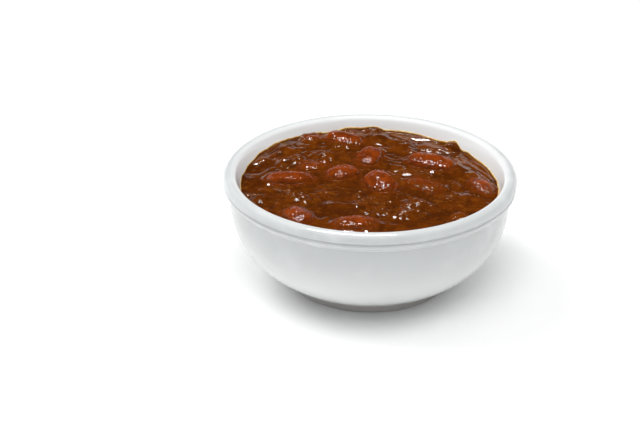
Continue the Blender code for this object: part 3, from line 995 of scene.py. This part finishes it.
# %% Oil along the wall
OIL_HALF_WIDTH = 0.37 * MM
OIL_LEAST_SHARE = 0.35
OIL_TURN = 0.35        # radians that its broad stretch is turned from the back to the right
OIL_FLATNESS = 0.7
OIL_RISE = 0.1 * MM
OIL_RUN = 0.12         # of a radian, how long its thick and thin stretches are
TUBE_RADIUS = 0.5      # of the torus, before it is fitted
OIL_AMBER = (0.80, 0.56, 0.21)
OIL_DEEP = (0.55, 0.27, 0.05)
OIL_CLOUD = 3 * MM
OIL_RIPPLE = (1.2 * MM, 0.05 * MM)     # size and depth


def sorted_pairs(keys, values):
    order = np.argsort(keys)
    return keys[order], values[order]


def oil_along_wall():
    deselect_all()
    bpy.ops.mesh.primitive_torus_add(
        location=(0.0, 0.0, 0.0), major_segments=TOP_SIDES, minor_segments=8,
        major_radius=1.0, minor_radius=TUBE_RADIUS)
    oil = bpy.context.object
    oil.name = "oil_line"
    rows = places(oil)
    bearing = np.arctan2(rows[:, 1], rows[:, 0])
    across = (np.hypot(rows[:, 0], rows[:, 1]) - 1.0) / TUBE_RADIUS
    up = rows[:, 2] / TUBE_RADIUS
    edge = np.flatnonzero(to_wall < 0.01 * MM)
    edge_bearing = np.arctan2(sauce_rows[edge, 1], sauce_rows[edge, 0])
    height = np.interp(bearing, *sorted_pairs(edge_bearing, sauce_rows[edge, 2]), period=math.tau)
    share = OIL_LEAST_SHARE + (1.0 - OIL_LEAST_SHARE) * ease(np.sin(bearing + OIL_TURN), -0.5, 0.5)
    size = OIL_HALF_WIDTH * share * (1.0 + 0.5 * noise_at(np.cos(bearing), np.sin(bearing), OIL_RUN))
    wall = np.interp(height, WALL_HEIGHTS, WALL_RADII)
    out, level = wall + across * size * OIL_FLATNESS, height + OIL_RISE + up * size
    move_to(oil, np.column_stack([out * np.cos(bearing), out * np.sin(bearing), level]))
    return oil


sauce_rows = places(sauce)[:len(to_wall)]
oil = oil_along_wall()


def oil_finish():
    recipe = Recipe("amber_oil")
    runs = recipe.spread(recipe.noise(OIL_CLOUD, detail=2.0), 0.35, 0.65)
    recipe.wire(recipe.mix(runs, OIL_DEEP, OIL_AMBER), "Base Color")
    recipe.wire(recipe.bump(recipe.noise(OIL_RIPPLE[0]), OIL_RIPPLE[1]), "Coat Normal")
    recipe.set("Roughness", 0.4)
    wet(recipe)
    return recipe.material


oil.data.materials.append(oil_finish())
complete(oil, "chili_sauce")

# %% [markdown]
# The bean skins are brick red under a film of the same sauce. The film is deepest at the foot of
# each bean and patchy higher up, so noise shifts its edge.

# %% Bean skins
BEAN_BRICK = (0.245, 0.041, 0.0035)
BEAN_DARK = (0.145, 0.024, 0.002)
SKIN_CLOUD = 4 * MM
VEIL_PATCH = 2.2 * MM
SKIN_DULL_PATCH = 1.8 * MM
SKIN_GRAIN = (0.7 * MM, 0.25 * MM)       # size and depth
PEBBLED_PATCH = 5 * MM
FILM_PEBBLE = (0.85 * MM, 0.3 * MM)      # size and depth


def bean_finish():
    recipe = Recipe("kidney_bean")
    skin = recipe.mix(recipe.spread(recipe.noise(SKIN_CLOUD, detail=3.0), 0.35, 0.65), BEAN_DARK, BEAN_BRICK)
    patches = recipe.spread(recipe.noise(VEIL_PATCH, detail=4.0), 0.3, 0.7, -0.25, 0.25, smooth=False)
    veil = recipe.spread(recipe.math("ADD", recipe.attribute("veil"), patches), 0.35, 1.0)
    recipe.wire(recipe.mix(veil, skin, SAUCE_BROWN), "Base Color")
    recipe.wire(recipe.spread(recipe.noise(SKIN_DULL_PATCH), 0.3, 0.7, 0.25, 0.45), "Roughness")
    recipe.wire(recipe.bump(recipe.noise(SKIN_GRAIN[0], detail=3.0), SKIN_GRAIN[1], 0.7), "Normal")
    pebbly = recipe.spread(recipe.noise(PEBBLED_PATCH, detail=1.0), 0.42, 0.6)
    pebbles = recipe.math("MULTIPLY", recipe.noise(FILM_PEBBLE[0], detail=1.0), pebbly)
    recipe.wire(recipe.bump(pebbles, FILM_PEBBLE[1]), "Coat Normal")
    wet(recipe)
    return recipe.material


bean_skin = bean_finish()
for node, bean in beans.items():
    bean.data.materials.append(bean_skin)
    complete(bean, "kidney_bean", node)

# %% [markdown]
# ## The studio
# A plain pale floor, and four large soft lights that only the matt surfaces show. What gloss mirrors
# is set apart from them: a long narrow light overhead, which draws the thin lines and sparks on the
# wet stew, and a sky that is pale at the horizon and dark above it. The level sauce mirrors that dark
# part towards the viewer, which keeps the brown deep.

# %% Floor, lights and camera
FLOOR_SIZE = 6.0
CAMERA_PLACE = (-0.0203, -0.5597, 0.3069)
CAMERA_DOWN_DEG = 26.52
LENS = 85.0
LIGHTS_AIM = Vector((0.0, 0.0, 0.04))
DOME_LIGHT = (0.33, 0.4)    # at the horizon and overhead
SOFT_BOXES = {    # place in metres, power in watts
    "box_above": ((0.0, -0.1, 1.4), 4.5),
    "box_in_front": ((0.0, -0.6, 1.3), 6.5),
    "box_at_left": ((-0.8, 0.35, 1.0), 9.0),
    "box_at_right": ((0.9, 0.0, 1.1), 3.5),
}
SOFT_BOX_SIZE = 0.9
STRIP_PLACE = (-0.1, 0.12, 0.93)
STRIP_SIZE = (0.5, 0.05)
STRIP_POWER = 9.0
MIRRORED_HORIZON = (1.3, 1.25, 1.4, 1.0)
MIRRORED_DARK = (0.02, 0.02, 0.022, 1.0)
MIRRORED_TOP = (0.09, 0.09, 0.093, 1.0)
MIRRORED_STOPS = (    # sine of the height above the horizon, colour
    (0.05, MIRRORED_HORIZON), (0.2, MIRRORED_DARK), (0.8, MIRRORED_DARK),
)


def pale_floor():
    deselect_all()
    bpy.ops.mesh.primitive_plane_add(size=FLOOR_SIZE, location=(0.0, 0.0, 0.0))
    floor = bpy.context.object
    floor.name = "floor"
    recipe = Recipe("pale_floor")
    recipe.set("Base Color", (0.95, 0.95, 0.95, 1.0))
    recipe.set("Roughness", 0.9)
    recipe.set("Specular IOR Level", 0.2)
    floor.data.materials.append(recipe.material)


def soft_box(name, place, power):
    """A large round light that gloss doesn't mirror."""
    deselect_all()
    bpy.ops.object.light_add(type="AREA", location=place)
    light = bpy.context.object
    light.name = name
    light.data.shape = "DISK"
    light.data.size = SOFT_BOX_SIZE
    light.data.energy = power
    light.rotation_euler = (LIGHTS_AIM - Vector(place)).to_track_quat("-Z", "Y").to_euler()
    light.visible_glossy = False


def strip_light():
    """A long narrow light that matt surfaces don't show."""
    deselect_all()
    bpy.ops.object.light_add(type="AREA", location=STRIP_PLACE)
    light = bpy.context.object
    light.name = "strip"
    light.data.shape = "RECTANGLE"
    light.data.size, light.data.size_y = STRIP_SIZE
    light.data.energy = STRIP_POWER
    light.rotation_euler = (-math.atan(STRIP_PLACE[1] / STRIP_PLACE[2]), 0.0, 0.0)
    light.visible_diffuse = False


def studio_sky():
    """Even light from all over for matt surfaces, and another sky for gloss to mirror."""
    world = bpy.data.worlds.new("studio")
    world.use_nodes = True
    nodes, links = world.node_tree.nodes, world.node_tree.links
    split = nodes.new("ShaderNodeSeparateXYZ")
    ramp = nodes.new("ShaderNodeValToRGB")
    links.new(nodes.new("ShaderNodeTexCoord").outputs["Generated"], split.inputs["Vector"])
    links.new(split.outputs["Z"], ramp.inputs["Fac"])
    stops = ramp.color_ramp.elements
    stops[0].position, stops[0].color = 0.0, MIRRORED_HORIZON
    stops[1].position, stops[1].color = 1.0, MIRRORED_TOP
    for position, colour in MIRRORED_STOPS:
        stops.new(position).color = colour
    mirrored = nodes.new("ShaderNodeMix")
    mirrored.data_type = "RGBA"
    links.new(nodes.new("ShaderNodeLightPath").outputs["Is Glossy Ray"], mirrored.inputs["Factor"])
    dome = nodes.new("ShaderNodeValToRGB")
    links.new(split.outputs["Z"], dome.inputs["Fac"])
    for stop, light in zip(dome.color_ramp.elements, DOME_LIGHT):
        stop.color = (light, light, light, 1.0)
    links.new(dome.outputs["Color"], mirrored.inputs[6])
    links.new(ramp.outputs["Color"], mirrored.inputs[7])
    links.new(mirrored.outputs[2], nodes["Background"].inputs["Color"])
    world.cycles.sampling_method = "NONE"    # or gloss would catch the even light too
    bpy.context.scene.world = world


def camera():
    deselect_all()
    bpy.ops.object.camera_add(
        location=CAMERA_PLACE, rotation=(math.radians(90.0 - CAMERA_DOWN_DEG), 0.0, 0.0))
    made = bpy.context.object
    made.data.lens = LENS
    made.data.clip_start = 0.01
    bpy.context.scene.camera = made


pale_floor()
studio_sky()
for name, (place, power) in SOFT_BOXES.items():
    soft_box(name, place, power)
strip_light()
camera()
